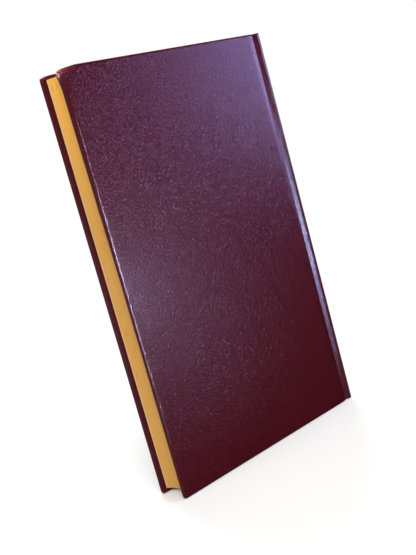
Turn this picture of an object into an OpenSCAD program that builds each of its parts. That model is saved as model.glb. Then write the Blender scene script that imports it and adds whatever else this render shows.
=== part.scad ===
// A hardback book standing on its tail, closed. X runs from the fore-edge to the spine, Y from the
// back cover to the front cover and Z up the height. Each cover turns on a vertical line at the
// outer edge of the spine, where its joint meets the rounded back. Sizes are in millimetres.

/* [Covers] */
// Height of the covers from tail to head
cover_height = 240; // [160:1:400]
// Width of a cover from its fore-edge to the joint groove
cover_width = 141; // [90:1:260]
// Thickness of the closed book across both covers
book_thickness = 23.2; // [17:0.2:60]
// Thickness of the board inside each cover
board_thickness = 2.25; // [1.8:0.05:3.5]
// Radius of the covers' fore-edge corners
corner_radius = 1.4; // [1.2:0.1:5]
// Radius of the back cover's bumped head corner
bumped_radius = 3; // [1.2:0.1:8]

/* [Covering] */
// Thickness of the covering material
cloth = 0.35; // [0.25:0.05:0.5]
// Width of the covering turned in over a board's edge
turn_in = 16; // [10:1:25]
// Rounding of the covering along the covers' edges
edge_rounding = 1.2; // [0.6:0.05:1.2]
// Height of the covering turned in over the spine's ends
spine_turn_in = 14; // [8:1:20]

/* [Joint] */
// Width from the groove's board edge to the line that the cover turns on
joint_width = 6.3; // [6:0.1:12]
// Radius of the fillet at the bottom of the groove
groove_fillet = 0.6; // [0.6:0.1:1.4]
// Radius of the ridge between the groove and the spine
ridge_radius = 2.4; // [2:0.1:3]
// Depth of the ridge's crest below the cover's face
ridge_drop = 0.2; // [0:0.05:0.6]
// Reach of the gauze under each pastedown
gauze_reach = 25; // [12:1:40]
// Distance that the gauze stops short of the covers' head and tail
gauze_short = 20; // [18:1:40]

/* [Spine] */
// Angle that the rounded spine turns through from its middle to each joint
spine_angle = 35; // [20:1:50]
// Thickness of the card inlay in the spine
inlay = 0.9; // [0.5:0.05:1.5]
// Depth of the hollow between the inlay and the lined back of the pages
hollow = 0.8; // [0.6:0.05:0.95]
// Thickness of the gauze on the back of the pages
gauze = 0.2; // [0.1:0.05:0.3]
// Thickness of the paper lining over the gauze
lining = 0.25; // [0.15:0.05:0.4]

/* [Pages] */
// Overhang of the covers past the pages at head and tail
square_ends = 2.7; // [2:0.1:5]
// Overhang of the covers past the pages at the fore-edge
square_fore = 3; // [2:0.1:5]
// Depth of the hollow in the pages' fore-edge
fore_hollow = 2; // [0.5:0.1:4]
// Thickness of one endpaper leaf
paper = 0.15; // [0.1:0.05:0.2]
// Radius of the bead on the head and tail bands
bead = 0.8; // [0.5:0.05:0.8]
// Height of the bands' tape down the back of the pages
tape = 10; // [6:1:14]

/* [Clearances] */
// Gap between each pastedown and its flyleaf
leaf_gap = 0.1; // [0.05:0.05:0.3]
// Gap between the covering of the joint and that of the spine
seam_gap = 0.3; // [0.2:0.05:0.5]

/* [Hidden] */

burgundy = [0.33, 0.10, 0.19];
page_gold = [0.88, 0.68, 0.36];
endpaper_cream = [0.90, 0.78, 0.58];
board_grey = [0.55, 0.52, 0.47];
kraft = [0.66, 0.50, 0.33];
gauze_white = [0.85, 0.83, 0.76];

// Steps in a round stretch of an outline
arc_steps = 10;
spine_steps = 36;

// Levels below a cover's outer face
board_inner = cloth + board_thickness;
turn_in_level = board_inner + cloth;
pastedown_level = turn_in_level + paper;
flyleaf_level = pastedown_level + leaf_gap;
page_level = flyleaf_level + paper;

// The joint: groove floor, ridge and the line that the cover turns on
joint_stack = cloth + gauze + paper;
groove_depth = board_inner + gauze + paper - joint_stack;
groove_x = cover_width + groove_fillet;
hinge_x = cover_width + joint_width;
ridge_angle = 90 - spine_angle;
ridge_x = hinge_x - ridge_radius * sin(ridge_angle);
ridge_y = ridge_drop + ridge_radius;
hinge_y = ridge_y - ridge_radius * cos(ridge_angle);

// The rounded spine, about an upright axis in the book's middle plane
middle = book_thickness / 2;
spine_radius = (middle - hinge_y) / sin(spine_angle);
spine_x = hinge_x - spine_radius * cos(spine_angle);
inlay_outer = spine_radius - cloth;
inlay_inner = inlay_outer - inlay;
lined_back = inlay_inner - hollow;
gauze_outer = lined_back - lining;
page_back = gauze_outer - gauze;
band_angle = spine_angle - 4;
overall_width = spine_x + spine_radius;

page_tail = square_ends;
page_head = cover_height - square_ends;

// Points round an arc of radius r, with the angle measured from +Y towards +X
function arc(x, y, r, from, to, steps = arc_steps) =
    [for (i = [0:steps]) let (a = from + (to - from) * i / steps) [x + r * sin(a), y + r * cos(a)]];

function reversed(list) = [for (i = [len(list) - 1:-1:0]) list[i]];

// One point of the slope from the groove's floor to the ridge, set in by a distance
function slope_point(t, inset) =
    let (run = ridge_x - groove_x,
        rise = groove_depth - ridge_drop,
        lean = -rise * (6 * t - 6 * t * t) / run,
        long = sqrt(1 + lean * lean))
    [groove_x + run * t - inset * lean / long,
        groove_depth - rise * (3 * t * t - 2 * t * t * t) + inset / long];

// The outline from the groove's floor over the ridge to the seam, set in by a distance
function joint_line(inset) =
    let (stop = ridge_angle - seam_gap / 2 / ridge_radius * 180 / PI)
    concat([for (i = [0:arc_steps]) slope_point(i / arc_steps, inset)],
        [for (p = arc(ridge_x, ridge_y, ridge_radius - inset, 180, 180 - stop)) if (p[0] > ridge_x) p]);

// Moves a shape drawn from the back cover's face and fore-edge into the book's frame
module place() translate([-overall_width / 2, -middle, 0]) children();

// Makes a back piece into the front one
module front() mirror([0, 1, 0]) children();

module upright(points, low, high)
    translate([0, 0, low]) linear_extrude(height = high - low) polygon(points);

// A block with rounded edges along its faces and rounded corners at its fore-edge
module eased_slab(inset, level, rounding, tail_corner, head_corner) {
    r = rounding - inset;
    right = cover_width - inset;
    top = cover_height - inset;
    intersection() {
        upright(concat(arc(inset + r, inset + r, r, 270, 180), arc(right - r, inset + r, r, 180, 90),
            [[right, level]], arc(inset + r, level - r, r, 0, -90)), inset, top);
        rotate([90, 0, 90]) linear_extrude(height = right)
            polygon(concat(arc(inset + r, inset + r, r, 270, 180), arc(level - r, inset + r, r, 180, 90),
                arc(level - r, top - r, r, 90, 0), arc(inset + r, top - r, r, 0, -90)));
        translate([0, level, 0]) rotate([90, 0, 0]) linear_extrude(height = level)
            let (low = tail_corner - inset, high = head_corner - inset)
            polygon(concat(arc(inset + low, inset + low, low, 270, 180),
                [[right, inset], [right, top]], arc(inset + high, top - high, high, 0, -90)));
    }
}

// The board that stiffens a cover
module board(head_corner) place()
    intersection() {
        eased_slab(cloth, board_inner + cloth, edge_rounding, corner_radius, head_corner);
        cube([cover_width, board_inner, cover_height]);
    }

// The inner face inside the turn-ins, open towards the joint
module inside_turn_ins(level, inset = 0)
    translate([turn_in + inset, level, turn_in + inset])
        cube([cover_width, page_level, cover_height - 2 * (turn_in + inset)]);

// The covering of one cover, turned in round the board and run over the joint to the seam
module cover_cloth(head_corner) color(burgundy) {
    difference() {
        place() difference() {
            eased_slab(0, turn_in_level, edge_rounding, corner_radius, head_corner);
            inside_turn_ins(board_inner);
        }
        board(head_corner);
    }
    place() upright(concat(
        arc(groove_x, groove_depth - groove_fillet, groove_fillet, -90, 0), joint_line(0),
        reversed(joint_line(cloth)),
        arc(groove_x, groove_depth - groove_fillet, groove_fillet + cloth, 0, -90)), 0, cover_height);
}

// The gauze that runs from the spine under a pastedown
module gauze_flap() color(gauze_white) place()
    upright(concat([[cover_width - gauze_reach, board_inner]], joint_line(cloth),
        reversed(joint_line(cloth + gauze)), [[cover_width - gauze_reach, board_inner + gauze]]),
        gauze_short, cover_height - gauze_short);

// The endpaper leaf that is pasted over the turn-ins, the board and the gauze
module pastedown() color(endpaper_cream) place() {
    difference() {
        translate([square_fore, board_inner, page_tail])
            cube([cover_width + paper - square_fore, pastedown_level - board_inner, page_head - page_tail]);
        difference() {
            cube([cover_width, turn_in_level, cover_height]);
            inside_turn_ins(0);
        }
        translate([cover_width - gauze_reach, 0, gauze_short])
            cube([cover_width, board_inner + gauze, cover_height - 2 * gauze_short]);
        inside_turn_ins(board_inner + gauze + paper, paper);
        difference() {
            inside_turn_ins(board_inner + paper, paper);
            translate([cover_width - gauze_reach - paper, 0, gauze_short - paper])
                cube([cover_width, page_level * 2, cover_height - 2 * (gauze_short - paper)]);
        }
    }
    upright(concat([[cover_width, board_inner + gauze]], joint_line(cloth + gauze),
        reversed(joint_line(joint_stack)), [[cover_width, board_inner + gauze + paper]]),
        page_tail, page_head);
}

// The loose endpaper leaf on the pages, up to the shoulder
module flyleaf() color(endpaper_cream) place()
    upright(concat([[square_fore, flyleaf_level]], joint_line(flyleaf_level - groove_depth),
        reversed(joint_line(page_level - groove_depth)), [[square_fore, page_level]]),
        page_tail, page_head);

// The hollow fore-edge as an arc through its two edges
function fore_edge() =
    let (half = middle - page_level,
        r = (half * half + fore_hollow * fore_hollow) / (2 * fore_hollow),
        a = asin(half / r))
    arc(square_fore + fore_hollow - r, middle, r, 90 - a, 90 + a, spine_steps);

function other_side(points) = [for (p = reversed(points)) [p[0], book_thickness - p[1]]];

// The sewn pages as one solid, with a hollow fore-edge, two shoulders and a rounded back
module text_block() color(page_gold) place()
    let (shoulder = joint_line(page_level - groove_depth))
    upright(concat(fore_edge(), shoulder,
        arc(spine_x, middle, page_back, 90 + spine_angle, 90 - spine_angle, spine_steps),
        other_side(shoulder)), page_tail, page_head);

// A curved layer of the spine between two radii. A cut runs past its ends by whole steps, so that its
// flats still match the flats of what it cuts.
module spine_layer(inner, outer, low, high, angle, past = 0) place()
    let (steps = spine_steps + 2 * past, wide = angle * steps / spine_steps)
    upright(concat(arc(spine_x, middle, outer, 90 + wide, 90 - wide, steps),
        arc(spine_x, middle, inner, 90 - wide, 90 + wide, steps)), low, high);

// Half angle of the case's spine, clear of the seams
case_angle = spine_angle - seam_gap / 2 / spine_radius * 180 / PI;

module spine_inlay() color(board_grey)
    spine_layer(inlay_inner, inlay_outer, cloth, cover_height - cloth, case_angle);

// The covering of the spine, turned in over both ends of the inlay
module spine_cloth() color(burgundy) difference() {
    spine_layer(inlay_inner - cloth, spine_radius, 0, cover_height, case_angle);
    spine_layer(inlay_inner, inlay_outer, cloth, cover_height - cloth, case_angle, 1);
    spine_layer(lined_back, inlay_inner, spine_turn_in, cover_height - spine_turn_in, case_angle, 1);
}

module spine_gauze() color(gauze_white)
    spine_layer(page_back, gauze_outer, gauze_short, cover_height - gauze_short, spine_angle);

// The paper lining between the two bands' tapes, glued over the gauze and past its ends
module spine_lining() color(kraft) difference() {
    spine_layer(page_back, lined_back, page_tail + tape, page_head - tape, spine_angle);
    spine_gauze();
}

// A band at one end of the pages: a bead on their edge and a tape glued down their back
module band() color(burgundy)
    rotate([0, 0, -band_angle]) rotate_extrude(angle = 2 * band_angle, $fn = 96) {
        translate([page_back, bead]) circle(r = bead, $fn = 32);
        translate([page_back, -tape]) square([gauze, tape + bead]);
    }

module head_band() place() translate([spine_x, middle, page_head]) band();
module tail_band() place() translate([spine_x, middle, page_tail]) mirror([0, 0, 1]) band();

text_block();
flyleaf();  // back_flyleaf
front() flyleaf();  // front_flyleaf
spine_gauze();
spine_lining();
head_band();
tail_band();
spine_inlay();
spine_cloth();
color(board_grey) board(bumped_radius);  // back_board
cover_cloth(bumped_radius);  // back_cover_cloth
gauze_flap();  // back_gauze_flap
pastedown();  // back_pastedown
color(board_grey) front() board(corner_radius);  // front_board
front() cover_cloth(corner_radius);  // front_cover_cloth
front() gauze_flap();  // front_gauze_flap
front() pastedown();  // front_pastedown
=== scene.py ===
import math

import bmesh
import bpy
import numpy as np
from mathutils import Matrix, Vector


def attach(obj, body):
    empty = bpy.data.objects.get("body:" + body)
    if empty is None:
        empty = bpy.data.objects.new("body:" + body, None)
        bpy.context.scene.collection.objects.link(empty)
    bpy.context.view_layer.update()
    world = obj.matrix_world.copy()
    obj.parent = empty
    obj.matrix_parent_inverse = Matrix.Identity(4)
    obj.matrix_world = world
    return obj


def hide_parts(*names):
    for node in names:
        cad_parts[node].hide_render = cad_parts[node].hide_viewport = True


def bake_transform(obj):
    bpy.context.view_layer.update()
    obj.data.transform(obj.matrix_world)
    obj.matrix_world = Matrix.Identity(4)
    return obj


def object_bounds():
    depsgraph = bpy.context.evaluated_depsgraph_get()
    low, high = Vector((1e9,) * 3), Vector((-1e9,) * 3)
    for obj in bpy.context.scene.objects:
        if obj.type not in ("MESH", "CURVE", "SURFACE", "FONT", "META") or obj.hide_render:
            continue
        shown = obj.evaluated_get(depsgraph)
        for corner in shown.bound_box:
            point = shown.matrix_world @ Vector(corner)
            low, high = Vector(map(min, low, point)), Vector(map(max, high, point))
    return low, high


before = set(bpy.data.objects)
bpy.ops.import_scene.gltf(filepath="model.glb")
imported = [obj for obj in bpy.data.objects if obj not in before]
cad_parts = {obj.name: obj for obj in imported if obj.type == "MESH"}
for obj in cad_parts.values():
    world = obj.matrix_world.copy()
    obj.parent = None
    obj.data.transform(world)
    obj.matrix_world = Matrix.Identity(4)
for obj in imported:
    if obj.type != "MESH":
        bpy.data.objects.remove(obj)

cad_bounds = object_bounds()
book_low = Vector(np.array(cad_bounds, float).reshape(2, 3).min(0))
book_high = Vector(np.array(cad_bounds, float).reshape(2, 3).max(0))

# The pages: sewn sections of toned paper as one block, rounded and shouldered at the back and
# hollow at the fore-edge, trimmed on three sides. Their golden edges are what shows. The block
# hangs in its case by the endpapers, clear of the ground by the covers' overhang.

MM = 0.001
book_height = (book_high.z - book_low.z) / MM
book_thickness = (book_high.y - book_low.y) / MM
middle = book_thickness / 2

# Sizes of the case and the pages, in millimetres from the fore-edge and the back cover's face
cover_width = 141.0
pages_level = 3.35
pages_fore = 3.0
pages_hollow = 2.0
pages_square = 2.7
groove_fillet = 0.6
groove_depth = 2.25
groove_x = cover_width + groove_fillet
joint_width = 6.3
ridge_radius = 2.4
ridge_drop = 0.2
spine_angle = math.radians(35)
hinge_x = cover_width + joint_width
ridge_x = hinge_x - ridge_radius * math.cos(spine_angle)
ridge_y = ridge_drop + ridge_radius
hinge_y = ridge_y - ridge_radius * math.sin(spine_angle)
spine_radius = (middle - hinge_y) / math.sin(spine_angle)
spine_x = hinge_x - spine_radius * math.cos(spine_angle)
pages_inset = 2.5
pages_back = spine_radius - pages_inset

# Shares of the pages' thickness at each shoulder's tip, and of their width before the joint and
# before the leaves fan out
tip_share = 0.05
joint_share = 0.94
fan_share = 0.93
section_count = 11
section_swell = 0.05


def in_frame(points):
    """Points in millimetres from the fore-edge, the back cover and the tail, as places in the frame."""
    return np.asarray(points, float) * MM + np.array(book_low)


def joint_line(inset, slope_steps=14, ridge_steps=8):
    """The joint's section from the groove's floor to the hinge line, set in below its surface."""
    t = np.linspace(0, 1, slope_steps + 1)
    run, rise = ridge_x - groove_x, groove_depth - ridge_drop
    lean = -rise * (6 * t - 6 * t * t) / run
    long = np.sqrt(1 + lean * lean)
    slope = np.c_[groove_x + run * t - inset * lean / long,
                  groove_depth - rise * (3 * t * t - 2 * t ** 3) + inset / long]
    a = np.linspace(0, math.pi / 2 - spine_angle, ridge_steps + 1)[1:]
    r = ridge_radius - inset
    return np.r_[slope, np.c_[ridge_x + r * np.sin(a), ridge_y - r * np.cos(a)]]


def mesh_from_patches(name, patches, layer=None, merge=0.01 * MM, closed=False):
    """One mesh from grids of points that share their borders; a patch may carry a value a point.

    If it has to be closed, hairline gaps between grids of different steps are filled.
    """
    bm = bmesh.new()
    values = bm.verts.layers.float.new(layer) if layer else None
    for grid, value in patches:
        rows, columns = grid.shape[:2]
        made = []
        for p, v in zip(in_frame(grid.reshape(-1, 3)), np.broadcast_to(value, grid.shape[:2]).ravel()):
            vert = bm.verts.new(p)
            if layer:
                vert[values] = v
            made.append(vert)
        for i in range(rows - 1):
            for j in range(columns - 1):
                k = i * columns + j
                bm.faces.new((made[k], made[k + 1], made[k + columns + 1], made[k + columns]))
    bmesh.ops.remove_doubles(bm, verts=bm.verts, dist=merge)
    bmesh.ops.dissolve_degenerate(bm, edges=bm.edges, dist=merge / 10)
    if closed:
        gaps = bmesh.ops.holes_fill(bm, edges=[e for e in bm.edges if e.is_boundary], sides=0)
        bmesh.ops.triangulate(bm, faces=gaps["faces"], ngon_method="EAR_CLIP")
    bmesh.ops.recalc_face_normals(bm, faces=bm.faces)
    mesh = bpy.data.meshes.new(name)
    bm.to_mesh(mesh)
    bm.free()
    piece = bpy.data.objects.new(name, mesh)
    bpy.context.scene.collection.objects.link(piece)
    return piece


def smooth(piece, crease=math.radians(35)):
    """Shades a piece smooth except at edges sharper than the crease."""
    piece.data.shade_smooth()
    piece.data.set_sharp_from_angle(angle=crease)


def node(tree, kind, inputs=(), **settings):
    """Adds a node to a tree; an input is a plain value or another node's output."""
    made = tree.nodes.new(kind)
    for key, value in settings.items():
        setattr(made, key, value)
    for key, value in dict(inputs).items():
        if isinstance(value, bpy.types.NodeSocket):
            tree.links.new(value, made.inputs[key])
        else:
            made.inputs[key].default_value = value
    return made


def new_material(name, roughness=0.6):
    """What a finish starts from: a material, its tree, its Principled shader and the place in it."""
    material = bpy.data.materials.new(name)
    material.use_nodes = True
    shader = material.node_tree.nodes["Principled BSDF"]
    shader.inputs["Roughness"].default_value = roughness
    place = node(material.node_tree, "ShaderNodeTexCoord").outputs["Object"]
    return material, material.node_tree, shader, place


def mix_colour(tree, share, first, second):
    """A mix of two colours, each given plainly or as another node's output."""
    made = node(tree, "ShaderNodeMix", data_type="RGBA")
    sockets = [s for s in made.inputs if s.enabled]
    for socket, value in zip(sockets, (share, first, second)):
        if isinstance(value, bpy.types.NodeSocket):
            tree.links.new(value, socket)
        else:
            socket.default_value = value
    return [s for s in made.outputs if s.enabled][0]


def maths(tree, kind, first, second=0.0, third=0.0):
    """One maths node's output, in a shader's tree or in a geometry's."""
    return node(tree, "ShaderNodeMath", {0: first, 1: second, 2: third}, operation=kind).outputs[0]


def ramp(tree, value, low, high, start=0.0, end=1.0, kind="LINEAR"):
    """A value that goes from start to end while the given one goes from low to high."""
    return node(tree, "ShaderNodeMapRange", {"Value": value, "From Min": low, "From Max": high,
                                             "To Min": start, "To Max": end},
                interpolation_type=kind).outputs[0]


def new_group(name, inputs, outputs):
    """A shader node group with named sockets; each input is (name, type, default)."""
    group = bpy.data.node_groups.new(name, "ShaderNodeTree")
    for label, kind, default in inputs:
        socket = group.interface.new_socket(name=label, in_out="INPUT", socket_type=kind)
        if default is not None:
            socket.default_value = default
    for label, kind in outputs:
        group.interface.new_socket(name=label, in_out="OUTPUT", socket_type=kind)
    return group, group.nodes.new("NodeGroupInput").outputs, group.nodes.new("NodeGroupOutput").inputs


def set_surface(tree, shader, colour, height, strength, distance):
    """Gives a shader its colour and its relief."""
    tree.links.new(colour, shader.inputs["Base Color"])
    bump = node(tree, "ShaderNodeBump", {"Strength": strength, "Distance": distance, "Height": height})
    tree.links.new(bump.outputs[0], shader.inputs["Normal"])


def scattered_specks_group():
    """Specks that are full in their cores and gone at their reach, in the given share of cells."""
    group, given, out = new_group("scattered_specks", [
        ("Vector", "NodeSocketVector", None), ("Scale", "NodeSocketFloat", 75.0),
        ("Core", "NodeSocketFloat", 0.03), ("Reach", "NodeSocketFloat", 0.16),
        ("Amount", "NodeSocketFloat", 0.3), ("Strength", "NodeSocketFloat", 1.0)],
        [("Speck", "NodeSocketFloat")])
    cells = node(group, "ShaderNodeTexVoronoi", {"Vector": given["Vector"], "Scale": given["Scale"]})
    near = ramp(group, cells.outputs["Distance"], given["Core"], given["Reach"], given["Strength"], 0.0)
    picked = node(group, "ShaderNodeSeparateColor", {"Color": cells.outputs["Color"]})
    rare = maths(group, "LESS_THAN", picked.outputs["Red"], given["Amount"])
    group.links.new(maths(group, "MULTIPLY", near, rare), out["Speck"])
    return group


scattered_specks = scattered_specks_group()


def page_edge_finish():
    """Golden toned page edges: lighter towards the head by painted light, lined along the leaves, with a
    few brown marks.
    """
    material, tree, shader, place = new_material("golden_page_edges", roughness=0.78)
    leaf = node(tree, "ShaderNodeAttribute", attribute_name="leaf").outputs["Fac"]
    along = node(tree, "ShaderNodeSeparateXYZ", {"Vector": place})
    line_place = node(tree, "ShaderNodeCombineXYZ", {"X": leaf, "Y": along.outputs["X"],
                                                     "Z": along.outputs["Z"]}).outputs[0]
    stretched = node(tree, "ShaderNodeMapping", {"Vector": line_place, "Scale": (150.0, 14.0, 14.0)})
    lines = node(tree, "ShaderNodeTexNoise", {"Vector": stretched.outputs[0], "Scale": 1.0, "Detail": 4.0,
                                              "Roughness": 0.7})
    sections = node(tree, "ShaderNodeMapping", {"Vector": line_place, "Scale": (22.0, 3.0, 3.0)})
    bands = node(tree, "ShaderNodeTexNoise", {"Vector": sections.outputs[0], "Scale": 1.0, "Detail": 1.0})
    # Painted light: the edges grow paler towards the head, where more light falls on them
    head_light_share = ramp(tree, along.outputs["Z"], 0.14, 0.26, kind="SMOOTHSTEP")
    gold = mix_colour(tree, bands.outputs[0], (0.480, 0.240, 0.048, 1), (0.545, 0.285, 0.066, 1))
    lit_paler = mix_colour(tree, head_light_share, gold, (0.690, 0.350, 0.058, 1))
    line = ramp(tree, lines.outputs[0], 0.52, 0.75, end=0.35)
    lined = mix_colour(tree, line, lit_paler, (0.35, 0.145, 0.030, 1))
    # The marks are small and drawn out along the leaves
    mark_place = node(tree, "ShaderNodeMapping", {"Vector": line_place, "Scale": (9.0, 80.0, 80.0)})
    mark = node(tree, "ShaderNodeGroup", {
        "Vector": mark_place.outputs[0], "Scale": 1.0, "Core": 0.05, "Reach": 0.20, "Amount": 0.25,
        "Strength": 0.55}, node_tree=scattered_specks)
    marked = mix_colour(tree, mark.outputs[0], lined, (0.20, 0.07, 0.02, 1))
    # The first and last few leaves are the paler stock of the endpapers
    outwards = maths(tree, "ABSOLUTE", maths(tree, "SUBTRACT", leaf, 0.5))
    outer_leaves = ramp(tree, outwards, 0.465, 0.49, end=0.7)
    edged = mix_colour(tree, outer_leaves, marked, (0.62, 0.40, 0.20, 1))
    set_surface(tree, shader, edged, lines.outputs[0], strength=0.4, distance=0.0001)
    return material


def page_patches():
    """The block's faces as grids: leaf lines run from fore-edge to back and fan out at the shoulders."""
    leaf = np.linspace(0, 1, 41)
    step = np.r_[np.linspace(0, joint_share, 19), np.linspace(joint_share, 1, 37)[1:]]
    heights = np.linspace(pages_square, book_height - pages_square, 61)
    line = joint_line(pages_level - groove_depth)
    face_x, face_y = np.r_[0, line[:, 0]], np.r_[pages_level, line[:, 1]]
    half = middle - pages_level
    hollow_r = (half * half + pages_hollow ** 2) / (2 * pages_hollow)
    across = (2 * leaf - 1) * half
    fore = pages_fore + pages_hollow - hollow_r + np.sqrt(hollow_r ** 2 - across ** 2)
    turn = (2 * np.clip((leaf - tip_share) / (1 - 2 * tip_share), 0, 1) - 1) * spine_angle
    end = np.c_[spine_x + pages_back * np.cos(turn), middle + pages_back * np.sin(turn)]
    tip = np.array([line[-1], [line[-1][0], book_thickness - line[-1][1]]])
    for k, side in ((0, leaf), (1, 1 - leaf)):
        share = np.clip(1 - side / tip_share, 0, 1)[:, None]
        end = end * (1 - share) + tip[k] * share
    x = fore[None, :] + (end[:, 0] - fore)[None, :] * step[:, None]
    low = np.interp(x, face_x, face_y)
    y = low + leaf[None, :] * (book_thickness - 2 * low)
    fan = np.clip((step - fan_share) / (1 - fan_share), 0, 1)[:, None]
    y += (end[:, 1] - y[-1]) * fan
    plan = np.dstack([x, y])

    def wall(points, values):
        grid = np.zeros((len(heights), len(points), 3))
        grid[:, :, :2] = points[None]
        grid[:, :, 2] = heights[:, None]
        return grid, values[None, :]

    # Sections stand a hair proud of each other at the fore-edge
    swell = section_swell * np.sin(leaf * 2 * np.pi * section_count) * np.sin(leaf * np.pi)
    fore_edge, values = wall(plan[0], leaf)
    fore_edge[:, :, 0] += swell * (1 + 0.6 * np.sin(heights / 31.0)[:, None])
    ends = []
    for z, out in ((heights[0], -1), (heights[-1], 1)):
        cap = np.dstack([plan, np.full(plan.shape[:2], z)])
        cap[0, :, 0] = fore_edge[0 if out < 0 else -1, :, 0]
        ends.append((cap, leaf[None, :]))
    return [(fore_edge, values), wall(plan[-1], leaf), wall(plan[:, 0], np.zeros(len(step))),
            wall(plan[:, -1], np.ones(len(step))), *ends]


pages = mesh_from_patches("pages", page_patches(), layer="leaf")
smooth(pages, math.radians(50))
pages.data.materials.append(page_edge_finish())
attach(pages, "block")
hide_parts("text_block")

# The endpapers: one folded leaf of toned paper at each end of the block. Its loose half lies on the
# pages, and its other half is pasted over the turned-in covering and the board.


def paper_fibre_group():
    """Fine fibres, clouds and small specks, as paper has."""
    group, given, out = new_group("paper_fibre", [
        ("Vector", "NodeSocketVector", None), ("Fibre scale", "NodeSocketFloat", 900.0),
        ("Speck amount", "NodeSocketFloat", 0.3)],
        [("Fibre", "NodeSocketFloat"), ("Cloud", "NodeSocketFloat"), ("Speck", "NodeSocketFloat")])
    fibre = node(group, "ShaderNodeTexNoise", {"Vector": given["Vector"], "Scale": given["Fibre scale"],
                                               "Detail": 3.0})
    cloud = node(group, "ShaderNodeTexNoise", {"Vector": given["Vector"], "Scale": 28.0, "Detail": 2.0})
    speck = node(group, "ShaderNodeGroup", {"Vector": given["Vector"], "Amount": given["Speck amount"]},
                 node_tree=scattered_specks)
    group.links.new(fibre.outputs[0], out["Fibre"])
    group.links.new(cloud.outputs[0], out["Cloud"])
    group.links.new(speck.outputs[0], out["Speck"])
    return group


paper_fibre = paper_fibre_group()


def endpaper_finish():
    """Toned paper, faintly clouded, with fine fibres and a few small brown specks."""
    material, tree, shader, place = new_material("toned_endpaper", roughness=0.85)
    fibre = node(tree, "ShaderNodeGroup", {"Vector": place, "Speck amount": 0.12}, node_tree=paper_fibre)
    clouded = mix_colour(tree, fibre.outputs["Cloud"], (0.62, 0.48, 0.30, 1), (0.71, 0.58, 0.39, 1))
    speck = maths(tree, "MULTIPLY", fibre.outputs["Speck"], 0.35)
    specked = mix_colour(tree, speck, clouded, (0.38, 0.21, 0.08, 1))
    set_surface(tree, shader, specked, fibre.outputs["Fibre"], strength=0.3, distance=0.00008)
    return material


endpaper = endpaper_finish()
for name in ("back_flyleaf", "front_flyleaf", "back_pastedown", "front_pastedown"):
    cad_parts[name].data.materials.clear()
    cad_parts[name].data.materials.append(endpaper)

paper_thickness = 0.15
pastedown_inset = 0.625
flyleaf_inset = 1.025
fold_clearance = 0.02
fold_leg = 0.9


def endpaper_fold(name, mirrored=False):
    """The fold between a pasted leaf and its loose leaf, which straightens as the cover opens."""
    ends = joint_line(pastedown_inset)[-1], joint_line(flyleaf_inset)[-1]
    inward = (ends[1] - ends[0]) / np.linalg.norm(ends[1] - ends[0])
    along = np.array([inward[1], -inward[0]])
    along *= np.sign(along[0])
    radius = np.linalg.norm(ends[1] - ends[0]) / 2
    half = paper_thickness / 2 + fold_clearance
    a = np.linspace(0, math.pi, 13)[:, None]
    bend = (ends[0] + ends[1]) / 2 - along * (radius + half)

    def offset(r):
        round_part = bend + r * (along * np.sin(a) - inward * np.cos(a))
        return np.vstack([round_part[0] - along * fold_leg, round_part, round_part[-1] - along * fold_leg])

    outline = np.stack([offset(radius + half), offset(radius - half)])
    if mirrored:
        outline = outline * (1, -1) + (0, book_thickness)
    heights = np.linspace(pages_square, book_height - pages_square, 9)
    rim = np.vstack([outline[0], outline[1, ::-1], outline[0, :1]])
    wall = np.zeros((len(heights), len(rim), 3))
    wall[:, :, :2], wall[:, :, 2] = rim, heights[:, None]
    caps = [np.dstack([outline, np.full(outline.shape[:2], z)]) for z in (heights[0], heights[-1])]
    fold = mesh_from_patches(name, [(grid, 0.0) for grid in (wall, *caps)], merge=0.005 * MM)
    smooth(fold)
    fold.data.materials.append(endpaper)
    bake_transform(fold)


endpaper_fold("back_endpaper_fold")
endpaper_fold("front_endpaper_fold", mirrored=True)

# The back of the pages: starched gauze glued over the sewing, with a flap that goes under each
# pasted endpaper, and brown paper glued over it. Behind them is the spine's strip of grey board.


def woven_group():
    """Threads crossing one way and the other."""
    group, given, out = new_group("woven_threads", [("Vector", "NodeSocketVector", None),
                                                    ("Thread scale", "NodeSocketFloat", 260.0)],
                                  [("Threads", "NodeSocketFloat")])
    ways = [node(group, "ShaderNodeTexWave", {"Vector": given["Vector"], "Scale": given["Thread scale"],
                                              "Distortion": 0.4}, bands_direction=way).outputs["Fac"]
            for way in ("X", "Y", "Z")]
    crossed = maths(group, "MAXIMUM", maths(group, "MAXIMUM", ways[0], ways[1]), ways[2])
    group.links.new(crossed, out["Threads"])
    return group


woven = woven_group()


def woven_finish(name, gap, thread, scale, roughness):
    """Cotton, by the colours of its gaps and threads: open starched gauze or close tape."""
    material, tree, shader, place = new_material(name, roughness)
    weave = node(tree, "ShaderNodeGroup", {"Vector": place, "Thread scale": scale}, node_tree=woven)
    colour = mix_colour(tree, weave.outputs[0], gap, thread)
    set_surface(tree, shader, colour, weave.outputs[0], strength=0.6, distance=0.0001)
    return material


def fibrous_finish(name, dark, light, fibre_scale, roughness):
    """Brown lining paper or grey board, by its two colours and the size of its fibres."""
    material, tree, shader, place = new_material(name, roughness)
    fibre = node(tree, "ShaderNodeGroup", {"Vector": place, "Fibre scale": fibre_scale},
                 node_tree=paper_fibre)
    colour = mix_colour(tree, fibre.outputs["Fibre"], dark, light)
    set_surface(tree, shader, colour, fibre.outputs["Fibre"], strength=0.5, distance=0.0001)
    return material


gauze = woven_finish("starched_gauze", (0.40, 0.33, 0.22, 1), (0.80, 0.77, 0.68, 1), 260.0, 0.9)
lining = fibrous_finish("brown_lining_paper", (0.30, 0.17, 0.08, 1), (0.50, 0.33, 0.18, 1), 700.0, 0.85)
greyboard = fibrous_finish("grey_board", (0.27, 0.25, 0.22, 1), (0.42, 0.39, 0.34, 1), 500.0, 0.9)
for name, finish in (("spine_gauze", gauze), ("back_gauze_flap", gauze), ("front_gauze_flap", gauze),
                     ("spine_lining", lining), ("spine_inlay", greyboard)):
    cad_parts[name].data.materials.clear()
    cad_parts[name].data.materials.append(finish)

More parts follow.
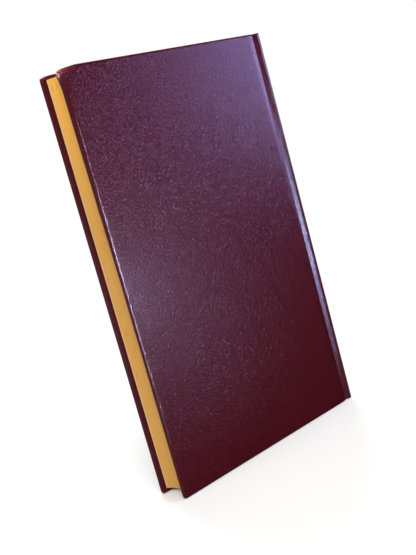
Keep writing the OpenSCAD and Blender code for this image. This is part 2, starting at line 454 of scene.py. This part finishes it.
# The head and tail bands: silk threads in burgundy and cream, wound round a cord and sewn to a
# strip of cotton tape. Each is cut to the width of the back and glued over its edge.

bead_radius = 0.8
silk_radius = 0.13
turn_spacing = 1.85
stripe_turns = 5
band_angle = spine_angle - math.radians(4)
tape_height = 10.0
tape_thickness = 0.2


def silk_finish(name, dark, light):
    """Silk thread: a soft sheen and fine fibres."""
    material, tree, shader, place = new_material(name, roughness=0.45)
    shader.inputs["Sheen Weight"].default_value = 0.3
    fibre = node(tree, "ShaderNodeTexNoise", {"Vector": place, "Scale": 2600.0, "Detail": 2.0})
    colour = mix_colour(tree, fibre.outputs[0], dark, light)
    set_surface(tree, shader, colour, fibre.outputs[0], strength=0.5, distance=0.00004)
    return material


def wound_threads_tree():
    """Turns of thread round a cord that lies on an arc, in stripes of two colours over the given tape."""
    tree = bpy.data.node_groups.new("wound_threads", "GeometryNodeTree")
    wanted = [("Geometry", "NodeSocketGeometry"), ("Turns", "NodeSocketInt"),
              ("Stripe turns", "NodeSocketInt"), ("Cord radius", "NodeSocketFloat"),
              ("Thread radius", "NodeSocketFloat"), ("Arc radius", "NodeSocketFloat"),
              ("Half angle", "NodeSocketFloat"), ("Arc centre", "NodeSocketVector"),
              ("Tape", "NodeSocketMaterial"),
              ("First silk", "NodeSocketMaterial"), ("Second silk", "NodeSocketMaterial")]
    for label, kind in wanted:
        tree.interface.new_socket(name=label, in_out="INPUT", socket_type=kind)
    tree.interface.new_socket(name="Geometry", in_out="OUTPUT", socket_type="NodeSocketGeometry")
    given = node(tree, "NodeGroupInput").outputs
    index = node(tree, "GeometryNodeInputIndex").outputs[0]
    share = maths(tree, "DIVIDE", index, maths(tree, "SUBTRACT", given["Turns"], 1.0))
    both_ways = maths(tree, "MULTIPLY_ADD", share, 2.0, -1.0)
    angle = maths(tree, "MULTIPLY", both_ways, given["Half angle"])
    x = maths(tree, "MULTIPLY", maths(tree, "COSINE", angle), given["Arc radius"])
    y = maths(tree, "MULTIPLY", maths(tree, "SINE", angle), given["Arc radius"])
    on_arc = node(tree, "ShaderNodeCombineXYZ", {"X": x, "Y": y})
    spot = node(tree, "ShaderNodeVectorMath", {0: on_arc.outputs[0], 1: given["Arc centre"]},
                operation="ADD")
    spots = node(tree, "GeometryNodeMeshLine", {"Count": given["Turns"]})
    placed = node(tree, "GeometryNodeSetPosition", {"Geometry": spots.outputs[0],
                                                    "Position": spot.outputs[0]})
    count = maths(tree, "FLOOR", maths(tree, "DIVIDE", index, given["Stripe turns"]))
    band = maths(tree, "ADD", maths(tree, "MODULO", count, 2.0), 1.0)
    marked = node(tree, "GeometryNodeStoreNamedAttribute", {
        "Geometry": placed.outputs[0], "Name": "stripe", "Value": band}, data_type="FLOAT")
    ring = node(tree, "GeometryNodeCurvePrimitiveCircle", {
        "Resolution": 14, "Radius": maths(tree, "SUBTRACT", given["Cord radius"], given["Thread radius"])})
    profile = node(tree, "GeometryNodeCurvePrimitiveCircle", {"Resolution": 6,
                                                              "Radius": given["Thread radius"]})
    turn = node(tree, "GeometryNodeCurveToMesh", {"Curve": ring.outputs[0],
                                                  "Profile Curve": profile.outputs[0]})
    upright = node(tree, "GeometryNodeTransform", {"Geometry": turn.outputs[0],
                                                   "Rotation": (math.pi / 2, 0, 0)})
    least_lean, most_lean = 0.04, 0.12
    lean = node(tree, "FunctionNodeRandomValue", {2: least_lean, 3: most_lean, "Seed": 7},
                data_type="FLOAT")
    turned = node(tree, "ShaderNodeCombineXYZ", {"X": lean.outputs[1], "Z": angle})
    wound = node(tree, "GeometryNodeInstanceOnPoints", {
        "Points": marked.outputs[0], "Instance": upright.outputs[0], "Rotation": turned.outputs[0]})
    joined = node(tree, "GeometryNodeJoinGeometry")
    tree.links.new(wound.outputs[0], joined.inputs[0])
    tree.links.new(given["Geometry"], joined.inputs[0])
    real = node(tree, "GeometryNodeRealizeInstances", {"Geometry": joined.outputs[0]})
    stripe = node(tree, "GeometryNodeInputNamedAttribute", {"Name": "stripe"},
                  data_type="FLOAT").outputs[0]
    finished = real.outputs[0]
    for over, label in ((-1.0, "Tape"), (0.5, "First silk"), (1.5, "Second silk")):
        picked = node(tree, "FunctionNodeCompare", {0: stripe, 1: over}, data_type="FLOAT",
                      operation="GREATER_THAN")
        finished = node(tree, "GeometryNodeSetMaterial", {
            "Geometry": finished, "Selection": picked.outputs[0], "Material": given[label]}).outputs[0]
    shown = node(tree, "GeometryNodeSetShadeSmooth", {"Geometry": finished}).outputs[0]
    tree.links.new(shown, node(tree, "NodeGroupOutput").inputs["Geometry"])
    return tree


wound_threads = wound_threads_tree()
tape_cotton = woven_finish("band_tape", (0.52, 0.46, 0.36, 1), (0.78, 0.73, 0.62, 1), 420.0, 0.85)
burgundy_silk = silk_finish("burgundy_silk", (0.16, 0.008, 0.022, 1), (0.26, 0.016, 0.035, 1))
cream_silk = silk_finish("cream_silk", (0.66, 0.55, 0.36, 1), (0.82, 0.72, 0.52, 1))


def tape_and_cord(level, way):
    """The band's tape and the cord inside its threads; way is 1 at the head and -1 at the tail."""
    a = np.linspace(-band_angle, band_angle, 25)

    def along_arc(radius, height):
        return np.dstack([spine_x + radius * np.cos(a)[None] + 0 * height,
                          middle + radius * np.sin(a)[None] + 0 * height, height + 0 * a[None]])

    up = np.array([[level - way * tape_height], [level + way * bead_radius]])
    front, back = along_arc(pages_back, up), along_arc(pages_back + tape_thickness, up)
    edges = [np.stack([front[k], back[k]]) for k in (0, 1)]
    sides = [np.stack([front[:, k], back[:, k]]) for k in (0, -1)]
    t = np.linspace(0, 2 * math.pi, 13)[:, None]
    core = bead_radius - silk_radius
    cord = along_arc(pages_back + core * np.cos(t), level + way * (bead_radius + core * np.sin(t)))
    heart = along_arc(np.full((13, 1), pages_back), np.full((13, 1), level + way * bead_radius))
    ends = [np.stack([cord[:, k], heart[:, k]]) for k in (0, -1)]
    return [(grid, 0.0) for grid in (front, back, *edges, *sides, cord, *ends)]


def apply_modifiers(piece):
    """Makes what a piece's modifiers show its own mesh."""
    evaluated = piece.evaluated_get(bpy.context.evaluated_depsgraph_get())
    made = bpy.data.meshes.new_from_object(evaluated)
    piece.modifiers.clear()
    piece.data = made


def wind_band(name, node_name, level, way):
    """Makes one band and fixes it to the pages."""
    base = mesh_from_patches(name, tape_and_cord(level, way), merge=0.002 * MM)
    winding = base.modifiers.new("threads", "NODES")
    winding.node_group = wound_threads
    pitch = turn_spacing * silk_radius
    centre = in_frame([spine_x, middle, level + way * bead_radius])
    values = {"Turns": int(2 * band_angle * pages_back / pitch), "Stripe turns": stripe_turns,
              "Cord radius": bead_radius * MM, "Thread radius": silk_radius * MM,
              "Arc radius": pages_back * MM, "Half angle": band_angle, "Arc centre": tuple(centre),
              "Tape": tape_cotton, "First silk": burgundy_silk, "Second silk": cream_silk}
    for socket in wound_threads.interface.items_tree:
        if socket.in_out == "INPUT" and socket.name in values:
            winding[socket.identifier] = values[socket.name]
    apply_modifiers(base)
    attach(base, "block")
    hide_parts(node_name)


wind_band("head_band_silk", "head_band", book_height - pages_square, 1)
wind_band("tail_band_silk", "tail_band", pages_square, -1)

# The covering: one piece of burgundy imitation leather on the real book, pasted over both boards
# and the spine inlay and folded in at every edge. It is pressed into a groove at each joint. Here
# it is parted at the two lines that the covers turn on, and each part has its true thickness.

cloth_thickness = 0.35
inlay_thickness = 0.9
turn_in_level = 2.95
edge_rounding = 1.2
spine_rounding = 0.6
turn_in = 16.0
spine_turn_in = 14.0
corner_radius = 1.4
bumped_radius = 1.8
joint_hem = 0.53
joint_edge_width = 3.8
joint_edge_ease = 2.0
joint_edge_tilt = 0.13
joint_edge_rounding = 0.6
fore_edge_fall = 0.08
fore_edge_ease = 0.9
fine_reach = 5.2
down_shares = (0.34, 0.67, 1.0)
under_shares = (0.04, 0.075, 0.1, 0.3, 0.6, 1.0)


def pebble_grain_group():
    """The covering's embossed grain: small pebbles of uneven outline over soft waves."""
    group, given, out = new_group("pebble_grain", [
        ("Vector", "NodeSocketVector", None), ("Pebble scale", "NodeSocketFloat", 880.0)],
        [("Height", "NodeSocketFloat"), ("Pit", "NodeSocketFloat"), ("Patch", "NodeSocketFloat")])
    waves = node(group, "ShaderNodeTexNoise", {"Vector": given["Vector"], "Scale": 500.0, "Detail": 2.0})
    shift = node(group, "ShaderNodeVectorMath", {0: waves.outputs["Color"], 1: (0.0011, 0.0011, 0.0011)},
                 operation="MULTIPLY")
    bent = node(group, "ShaderNodeVectorMath", {0: given["Vector"], 1: shift.outputs[0]}, operation="ADD")
    pebbles = node(group, "ShaderNodeTexVoronoi", {"Vector": bent.outputs[0],
                                                   "Scale": given["Pebble scale"]},
                   feature="DISTANCE_TO_EDGE")
    crown = ramp(group, pebbles.outputs["Distance"], 0.0, 0.30, kind="SMOOTHSTEP")
    patch = node(group, "ShaderNodeTexNoise", {"Vector": given["Vector"], "Scale": 38.0, "Detail": 3.0})
    wave_share = 0.7
    group.links.new(maths(group, "MULTIPLY_ADD", waves.outputs[0], wave_share, crown), out["Height"])
    group.links.new(maths(group, "SUBTRACT", 1.0, crown), out["Pit"])
    group.links.new(patch.outputs[0], out["Patch"])
    return group


pebble_grain = pebble_grain_group()


def covering_finish():
    """Burgundy imitation leather: satin crowns, duller pits, redder and paler where worn, and a painted
    highlight.
    """
    material, tree, shader, place = new_material("burgundy_covering")
    wear_and_highlight = node(tree, "ShaderNodeAttribute", attribute_name="wear_and_highlight").outputs["Fac"]
    shader.inputs["Specular IOR Level"].default_value = 0.4
    grain = node(tree, "ShaderNodeGroup", {"Vector": place}, node_tree=pebble_grain)
    body = mix_colour(tree, grain.outputs["Patch"], (0.050, 0.0012, 0.0040, 1), (0.070, 0.0020, 0.0060, 1))
    pit = maths(tree, "MULTIPLY", grain.outputs["Pit"], 0.45)
    pitted = mix_colour(tree, pit, body, (0.026, 0.0006, 0.0016, 1))
    broken = node(tree, "ShaderNodeTexNoise", {"Vector": place, "Scale": 900.0, "Detail": 3.0})
    rub = maths(tree, "MULTIPLY", wear_and_highlight, broken.outputs[0])
    worn = mix_colour(tree, ramp(tree, rub, 0.10, 0.30), pitted, (0.12, 0.006, 0.013, 1))
    # The palest colour is bare wear, and on the back cover's bumped corner also a painted highlight
    bare_and_highlight = mix_colour(tree, ramp(tree, rub, 0.38, 0.56), worn, (0.52, 0.30, 0.29, 1))
    # Any rubbing at all takes the gloss off
    gloss = ramp(tree, grain.outputs["Pit"], 0.0, 1.0, start=0.175, end=0.25)
    dulled = ramp(tree, wear_and_highlight, 0.05, 0.07, end=0.62)
    tree.links.new(maths(tree, "ADD", gloss, dulled), shader.inputs["Roughness"])
    set_surface(tree, shader, bare_and_highlight, grain.outputs["Height"], strength=0.32, distance=0.00016)
    return material


covering = covering_finish()


def cover_section():
    """A cover's section in plan: outer points, and the inner points that the covering turns in to."""
    near = np.arange(edge_rounding, fine_reach, 0.3)
    first = math.atan(joint_edge_tilt)
    tilt_start = cover_width - joint_edge_width - joint_edge_rounding * (1 - math.sin(first))
    flat = np.r_[near, np.linspace(fine_reach + 0.4, tilt_start, 56)]
    # The board was nipped in the press: its face eases down at the fore-edge, and tilts and rounds
    # over towards the groove
    eased = fore_edge_fall * np.clip(1 - (flat - edge_rounding) / fore_edge_ease, 0, 1) ** 2
    outer = [np.c_[flat, eased]]
    inner = [np.c_[flat, np.full(len(flat), turn_in_level)]]
    s = np.linspace(0, joint_edge_width, 11)[1:]
    bend = np.minimum(s, joint_edge_ease)
    fall = joint_edge_tilt * (s - bend + bend ** 2 / joint_edge_ease / 2)
    outer.append(np.c_[tilt_start + s, fall])
    a = np.linspace(first, math.pi / 2, 7)[1:]
    outer.append(np.c_[cover_width - joint_edge_rounding * (1 - np.sin(a)),
                       fall[-1] + joint_edge_rounding * (math.cos(first) - np.cos(a))])
    a = np.linspace(-math.pi / 2, 0, 7)
    outer.append(np.c_[groove_x + groove_fillet * np.sin(a),
                       groove_depth - groove_fillet * (1 - np.cos(a))])
    wall = np.vstack(outer[1:])
    level = np.linspace(turn_in_level, groove_depth + joint_hem, len(wall))
    inner.append(np.c_[wall[:, 0], level])
    # Outside, the covering rises steeply from the groove, leans up to the ridge and flattens on its crest
    over_ridge = joint_line(0, slope_steps=28)[1:]
    bends = np.array([(groove_x, groove_depth), (groove_x + 0.75, 1.55), (ridge_x - 1.1, 0.25),
                      (ridge_x - 0.45, ridge_drop)])
    bent = np.pad(np.interp(over_ridge[:, 0], bends[:, 0], bends[:, 1]), 2, mode="edge")
    softened = np.convolve(bent, np.full(5, 0.2), "valid")
    over_ridge[:, 1] = np.where(over_ridge[:, 0] < ridge_x, softened, over_ridge[:, 1])
    outer.append(over_ridge)
    inner.append(joint_line(joint_hem, slope_steps=28)[1:])
    return np.vstack(outer), np.vstack(inner)


def spine_section():
    """The spine's section in plan, from one hinge line to the other."""
    a = np.linspace(-spine_angle, spine_angle, 33)
    inside = spine_radius - inlay_thickness - 2 * cloth_thickness
    outer = np.c_[spine_x + spine_radius * np.cos(a), middle + spine_radius * np.sin(a)]
    return outer, np.c_[spine_x + inside * np.cos(a), middle + inside * np.sin(a)]


def rounded_corner(x, z, centre, radius):
    """Moves a square corner's points onto a round one; the centre is x, z and which way z is out."""
    a, b = (centre[0] - x) / radius, (z - centre[1]) / radius * centre[2]
    inside = (a > 0) & (b > 0)
    longest, across = np.maximum(a, b), np.hypot(a, b) + 1e-12
    scale = np.where(inside, longest / across, 1)
    return (np.where(inside, centre[0] - radius * a * scale, x),
            np.where(inside, centre[1] + centre[2] * radius * b * scale, z))


def covering_patches(section, fold_width, rounding, corners=None):
    """The outside of a cover or the spine as grids: its face, and the fold round its free edges.

    A cover's corners are given as their radii at the tail and the head; the spine has none.
    """
    outer, inner = section
    depth = np.linalg.norm(inner - outer, axis=1)
    round_by = np.minimum(rounding, depth * 0.48)
    inward = (inner - outer) / depth[:, None]
    rows = np.r_[np.arange(0, fine_reach, 0.55), np.linspace(6, book_height - 6, 92)]
    rows = np.unique(np.r_[rows, book_height - rows])
    share = (rows - rows[0]) / (rows[-1] - rows[0])
    z = round_by[None, :] + share[:, None] * (book_height - 2 * round_by[None, :])
    rounds = []
    if corners:
        z = np.clip(rows[:, None], round_by[None, :], book_height - round_by[None, :])
        rounds = [(corners[0], corners[0], -1), (corners[1], book_height - corners[1], 1)]
    x = np.broadcast_to(outer[:, 0], z.shape).copy()
    y = np.broadcast_to(outer[:, 1], z.shape).copy()
    for centre in rounds:
        x, z = rounded_corner(x, z, centre, centre[0] - edge_rounding)
    face = np.dstack([x, y, z])
    tail, head = face[0, ::-1], face[-1]
    loop = [(tail, np.arange(len(outer))[::-1]), (head, np.arange(len(outer)))]
    if corners:
        side = face[:, 0]
        joined = np.r_[tail, side[1:-1], head]
        column = np.r_[loop[0][1], np.zeros(len(side) - 2, int), loop[1][1]]
        loop = [(joined, column)]
    patches = [face]
    for border, column in loop:
        out = np.zeros((len(border), 3))
        out[:, 2] = np.where(border[:, 2] > book_height / 2, 1.0, -1.0)
        for radius, middle_z, way in rounds:
            dx, dz = radius - border[:, 0], (border[:, 2] - middle_z) * way
            turned = (dx > 1e-6) & (dz > -1e-6)
            long = np.hypot(dx, dz) + 1e-12
            out[turned] = np.c_[-dx / long, 0 * dx, way * dz / long][turned]
        if corners:
            middle_part = ((border[:, 0] < edge_rounding + 1e-6) & (border[:, 2] > corners[0])
                           & (border[:, 2] < book_height - corners[1]))
            out[middle_part] = (-1.0, 0.0, 0.0)
        r = round_by[column][:, None]
        down = np.c_[inward[column], np.zeros(len(column))]
        full = depth[column][:, None]
        # Rings round the outer edge, down the side, round the inner edge and in under the cover
        rings = [border]
        for a in np.linspace(0, math.pi / 2, 6)[1:]:
            rings.append(border + out * r * math.sin(a) + down * r * (1 - math.cos(a)))
        for s in down_shares:
            rings.append(border + out * r + down * (r + (full - 2 * r) * s))
        for a in np.linspace(0, math.pi / 2, 6)[1:]:
            rings.append(border + out * r * math.cos(a) + down * (full - r * (1 - math.sin(a))))
        last = rings[-1]
        left = fold_width if corners else -1e9
        target = np.c_[np.maximum(last[:, 0], left), last[:, 1],
                       np.clip(last[:, 2], fold_width, book_height - fold_width)]
        for s in under_shares:
            rings.append(last + (target - last) * s)
        patches.append(np.array(rings))
    return patches


def turn_outwards(piece):
    """Points an open skin's faces away from the book's middle."""
    centre = (book_low + book_high) / 2
    mesh = piece.data
    total = sum(f.normal.dot(f.center - centre) * f.area for f in mesh.polygons)
    if total < 0:
        mesh.flip_normals()


def lay_covering(name, patches, body, node_name, mirrored=False, shape=None):
    """Makes one part of the covering from its outside, gives it its thickness and lays it on a body."""
    if mirrored:
        patches = [p * (1, -1, 1) + (0, book_thickness, 0) for p in patches]
    values = [np.zeros(p.shape[:2]) for p in patches]
    if shape:
        patches, values = zip(*[shape(p) for p in patches])
    piece = mesh_from_patches(name, list(zip(patches, values)), layer="wear_and_highlight", merge=0.02 * MM)
    turn_outwards(piece)
    smooth(piece)
    thickness = piece.modifiers.new("thickness", "SOLIDIFY")
    thickness.thickness = cloth_thickness * MM
    thickness.offset = -1
    apply_modifiers(piece)
    # In the narrow folds of the joint, the thickness stays within the book's head and tail
    for vert in piece.data.vertices:
        vert.co.z = min(max(vert.co.z, book_low.z), book_high.z)
    piece.data.materials.append(covering)
    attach(piece, body)
    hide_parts(node_name)


rim_rub_width = 1.6
rim_rub_share = 0.08
rim_side, rim_side_fade = 1.6, 0.6


def rim_rub(points):
    """The slight rubbing that dulls a cover's free edges and all of its turn-in."""
    x, y, z = points[..., 0], points[..., 1], points[..., 2]
    from_edge = np.minimum(np.minimum(x, book_height - z), z)
    depth = np.minimum(y, book_thickness - y)
    turned_in = np.clip((depth - rim_side) / rim_side_fade, 0, 1) * (x < cover_width / 2)
    return rim_rub_share * np.maximum(np.clip(1 - from_edge / rim_rub_width, 0, 1), turned_in)


# The bumped corner: how deep its face is crushed and over what reach, how far its tip curls in and
# where, its creases, the pale streak on its edge (partly wear, partly a painted highlight), how far the
# rim swells over its upper part, and how far the corners of both covers droop
crush_depth = 1.5
crush_reach = (11.0, 4.2)
tip_curl = 2.1
tip_place, tip_reach = (0.5, 3.0), 4.5
crease_depth, crease_reach = 0.14, 5.0
streak_place, streak_reach = (1.5, 3.4), (0.9, 3.2)
streak_width = 1.6
swell_depth = 2.0
swell_start = 125.0
swell_run = 95.0
back_droop, back_droop_reach = 1.25, 10.3
front_droop, front_droop_reach = 0.9, 9.0


def droop(x, down, depth, reach):
    """How far a knocked corner hangs down, by the distances from the fore-edge and the head."""
    return depth * np.clip(1 - x / reach, 0, 1) ** 1.2 * np.exp(-down / 7.0)


def bumped_corner(points):
    """The back cover's head corner at the fore-edge: knocked round, curled in, swollen, rubbed and painted
    lit.
    """
    x, y, z = points[..., 0], points[..., 1], points[..., 2]
    down = book_height - z
    away = np.hypot(x, down)
    inner = np.clip(y / turn_in_level, 0, 1)
    # Where it is free of the pages, the rim's inside swells towards the head and curls in at the tip
    free = np.clip(np.maximum(pages_fore - x, pages_square - down) / 0.8, 0, 1)
    upper = np.clip((z - swell_start) / swell_run, 0, 1)
    rim_swell = swell_depth * upper * np.clip(1 - x / pages_fore, 0, 1) ** 0.3
    tip = np.exp(-(np.hypot(x - tip_place[0], down - tip_place[1]) / tip_reach) ** 2)
    crease = crease_depth * np.sin(2.4 * x - 1.7 * down) * np.exp(-(away / crease_reach) ** 2)
    bevel = np.clip(1 - np.hypot(x / crush_reach[0], down / crush_reach[1]), 0, 1)
    moved = points.copy()
    moved[..., 1] += (1 - inner) * (crush_depth * bevel ** 1.3 + crease + 0.25 * tip)
    moved[..., 1] += inner * free * (rim_swell + tip_curl * tip + crease)
    moved[..., 2] -= droop(x, down, back_droop, back_droop_reach)
    # The pale streak on the rim's edge is partly wear and partly a painted highlight on the crease
    wear_and_highlight_streak = (np.exp(-((y - streak_place[0]) / streak_reach[0]) ** 2)
              * np.exp(-((down - streak_place[1]) / streak_reach[1]) ** 2) * (x < streak_width))
    rub = 0.50 * np.clip(bevel * 2.2, 0, 1) + 0.15 * np.exp(-(away / 6.0) ** 2) + 0.85 * wear_and_highlight_streak
    return moved, np.clip(rub + rim_rub(points), 0, 1)


def rubbed_rims(points):
    """The front cover's head corner, knocked down a little, and light rubbing along the head edge."""
    x, down = points[..., 0], book_height - points[..., 2]
    corner = np.exp(-(np.hypot(x, np.minimum(down, points[..., 2])) / 3.0) ** 2)
    head = np.clip(1 - down / rim_rub_width, 0, 1)
    moved = points.copy()
    moved[..., 2] -= droop(x, down, front_droop, front_droop_reach)
    rub = rim_rub(points) + 0.45 * corner + head * (0.30 + 0.45 * np.exp(-(x / 7.0) ** 2))
    return moved, np.clip(rub, 0, 1)


back_cover = covering_patches(cover_section(), turn_in, edge_rounding, (corner_radius, bumped_radius))
front_cover = covering_patches(cover_section(), turn_in, edge_rounding, (corner_radius, corner_radius))
spine_cover = covering_patches(spine_section(), spine_turn_in, spine_rounding)
lay_covering("back_covering", back_cover, "back_cover", "back_cover_cloth", shape=bumped_corner)
lay_covering("front_covering", front_cover, "front_cover", "front_cover_cloth", mirrored=True,
             shape=rubbed_rims)
lay_covering("spine_covering", spine_cover, "block", "spine_cloth")

# The boards: grey board, one in each cover. Each lies just inside its covering, and was nipped at the
# joint and knocked at its head corner together with it.

board_level = 2.6


def lay_board(name, node_name, body, corners, mirrored=False, shape=None):
    """Makes one board from its cover's outside, set in by the covering's thickness."""
    outer = cover_section()[0]
    outer = outer[:np.argmax(outer[:, 0] > cover_width - 1e-6) + 1] + (0, cloth_thickness)
    outer = np.vstack([outer, [(cover_width, board_level - cloth_thickness / 10)]])
    inner = np.c_[outer[:, 0], np.full(len(outer), board_level)]
    patches = covering_patches((outer, inner), book_height / 2, edge_rounding - cloth_thickness, corners)
    size = np.array([cover_width, 1, book_height])
    inset = np.array([cloth_thickness, 0, cloth_thickness])
    laid = []
    most = board_level - cloth_thickness
    for patch in patches:
        moved = shape(patch)[0] if shape else patch
        # The outer side sinks with its covering, and the side towards the pages stays where it is
        sunk = np.minimum(moved[..., 1] - patch[..., 1], most) * (board_level - patch[..., 1]) / most
        moved = inset + moved * (1 - 2 * inset / size)
        moved[..., 1] = patch[..., 1] + sunk
        laid.append((moved * (1, -1, 1) + (0, book_thickness, 0) if mirrored else moved, 0.0))
    piece = mesh_from_patches(name, laid, merge=0.03 * MM, closed=True)
    smooth(piece)
    piece.data.materials.append(greyboard)
    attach(piece, body)
    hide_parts(node_name)


lay_board("back_greyboard", "back_board", "back_cover", (corner_radius, bumped_radius),
          shape=bumped_corner)
lay_board("front_greyboard", "front_board", "front_cover", (corner_radius, corner_radius),
          mirrored=True, shape=rubbed_rims)

# The stage: a pale floor that keeps the book's shadow and fades into a white surround, soft lamps
# and the camera at the photograph's viewing angle, rolled as the photograph is.


def floor_finish():
    """Pale and matt round the book and white from further off; gloss shows it as a dark table."""
    material, tree, shader, place = new_material("pale_floor", roughness=0.9)
    shader.inputs["Base Color"].default_value = (0.85, 0.85, 0.85, 1)
    shader.inputs["Specular IOR Level"].default_value = 0.0
    reach = node(tree, "ShaderNodeVectorMath", {0: place}, operation="LENGTH")
    fade = ramp(tree, reach.outputs["Value"], 0.16, 0.55, kind="SMOOTHSTEP")
    ray = node(tree, "ShaderNodeLightPath")
    seen_far = maths(tree, "MULTIPLY", fade, ray.outputs["Is Camera Ray"])
    white = node(tree, "ShaderNodeEmission", {"Color": (1, 1, 1, 1), "Strength": 1.0})
    dim = node(tree, "ShaderNodeEmission", {"Color": (0.5, 0.4, 0.6, 1), "Strength": 0.02})
    blended = node(tree, "ShaderNodeMixShader", {0: seen_far, 1: shader.outputs[0], 2: white.outputs[0]})
    by_ray = node(tree, "ShaderNodeMixShader", {0: ray.outputs["Is Glossy Ray"], 1: blended.outputs[0],
                                                2: dim.outputs[0]})
    tree.links.new(by_ray.outputs[0], tree.nodes["Material Output"].inputs["Surface"])
    material.cycles.emission_sampling = "NONE"
    return material


floor_mesh = bpy.data.meshes.new("floor")
floor_half = 6.0
floor_mesh.from_pydata([(-floor_half, -floor_half, 0), (floor_half, -floor_half, 0),
                        (floor_half, floor_half, 0), (-floor_half, floor_half, 0)], [], [(0, 1, 2, 3)])
floor = bpy.data.objects.new("floor", floor_mesh)
floor.location.z = book_low.z
bpy.context.scene.collection.objects.link(floor)
floor_mesh.materials.append(floor_finish())

world = bpy.data.worlds.new("surround")
bpy.context.scene.world = world
world.use_nodes = True
sky = world.node_tree
background = sky.nodes["Background"]
background.inputs["Color"].default_value = (0.92, 0.94, 1.0, 1)
background.inputs["Strength"].default_value = 0.03
seen = node(sky, "ShaderNodeBackground", {"Color": (1, 1, 1, 1), "Strength": 1.0})
ray = node(sky, "ShaderNodeLightPath")
choice = node(sky, "ShaderNodeMixShader", {0: ray.outputs["Is Camera Ray"], 1: background.outputs[0],
                                           2: seen.outputs[0]})
sky.links.new(choice.outputs[0], sky.nodes["World Output"].inputs["Surface"])


def soft_lamp(name, azimuth, elevation, distance, size, power, colour, sheen, aim=None, spread=180):
    """An area lamp aimed at a point, or else at the book's middle.

    Azimuth 0 stands before the back cover and 90 at the spine. A sheen lamp shows only in reflections,
    and any other one never does.
    """
    a, e = math.radians(azimuth), math.radians(elevation)
    place = book_centre + distance * Vector((math.sin(a) * math.cos(e), -math.cos(a) * math.cos(e),
                                             math.sin(e)))
    lamp = bpy.data.lights.new(name, "AREA")
    lamp.shape = "RECTANGLE"
    lamp.size, lamp.size_y = size
    lamp.energy = power
    lamp.color = colour
    lamp.spread = math.radians(spread)
    holder = bpy.data.objects.new(name, lamp)
    holder.location = place
    holder.rotation_euler = ((aim or book_centre) - place).to_track_quat("-Z", "Y").to_euler()
    holder.visible_camera = False
    holder.visible_diffuse = not sheen
    holder.visible_glossy = sheen
    bpy.context.scene.collection.objects.link(holder)


book_centre = Vector((0, 0, 0.12))
soft_lamp("key", -38, 36, 2.0, (1.0, 1.0), 34, (1.0, 0.99, 0.97), sheen=False)
soft_lamp("overhead", 20, 72, 1.9, (1.8, 1.8), 28, (1.0, 1.0, 1.0), sheen=False)
soft_lamp("blue_window", 59, 13, 1.3, (0.48, 0.42), 8.8, (0.46, 0.43, 1.0), sheen=True)
soft_lamp("front_window", 3, -3, 0.6, (0.46, 0.09), 0.55, (0.66, 0.60, 1.0), sheen=True)
soft_lamp("grain_glint", 23, -9, 0.5, (0.06, 0.06), 0.44, (0.60, 0.55, 1.0), sheen=True)
soft_lamp("edge_window", 64, 11.6, 0.47, (0.05, 0.12), 0.20, (0.48, 0.50, 1.0), sheen=True)
rim_middle = Vector((-0.075, -0.012, 0.13))
soft_lamp("rim_window", -9.5, -4, 0.5, (0.05, 0.10), 0.11, (0.80, 0.74, 1.0), sheen=True, aim=rim_middle,
          spread=30)
joint_middle = Vector((0.068, -0.012, 0.103))
soft_lamp("joint_glow", -22, -10, 0.33, (0.14, 0.07), 0.19, (0.45, 0.55, 1.0), sheen=True,
          aim=joint_middle, spread=50)
soft_lamp("joint_sky", -22, -1, 0.33, (0.14, 0.045), 0.07, (0.48, 0.50, 1.0), sheen=True,
          aim=joint_middle, spread=70)
soft_lamp("fill", -92, 18, 1.6, (0.9, 0.9), 6, (1.0, 0.99, 0.97), sheen=False)
soft_lamp("back_key", 150, 34, 2.0, (1.2, 1.2), 30, (1.0, 0.99, 0.97), sheen=False)
soft_lamp("back_window", 200, 14, 1.6, (1.3, 0.8), 9, (0.62, 0.60, 1.0), sheen=True)

camera_place = Vector((-0.317497, -0.382820, 0.180774))
camera_forward = Vector((0.620287, 0.770586, -0.146428))
camera_up = Vector((0.296119, -0.057190, 0.953437))
focal_pixels = 844.19
long_side_pixels = 555
camera_data = bpy.data.cameras.new("camera")
camera_data.sensor_width = 36
camera_data.lens = focal_pixels / long_side_pixels * camera_data.sensor_width
camera = bpy.data.objects.new("camera", camera_data)
right = camera_forward.cross(camera_up).normalized()
up = right.cross(camera_forward).normalized()
turned = Matrix((right, up, -camera_forward.normalized())).transposed()
camera.matrix_world = Matrix.Translation(camera_place) @ turned.to_4x4()
bpy.context.scene.collection.objects.link(camera)
bpy.context.scene.camera = camera
bpy.context.scene.view_settings.view_transform = "Standard"
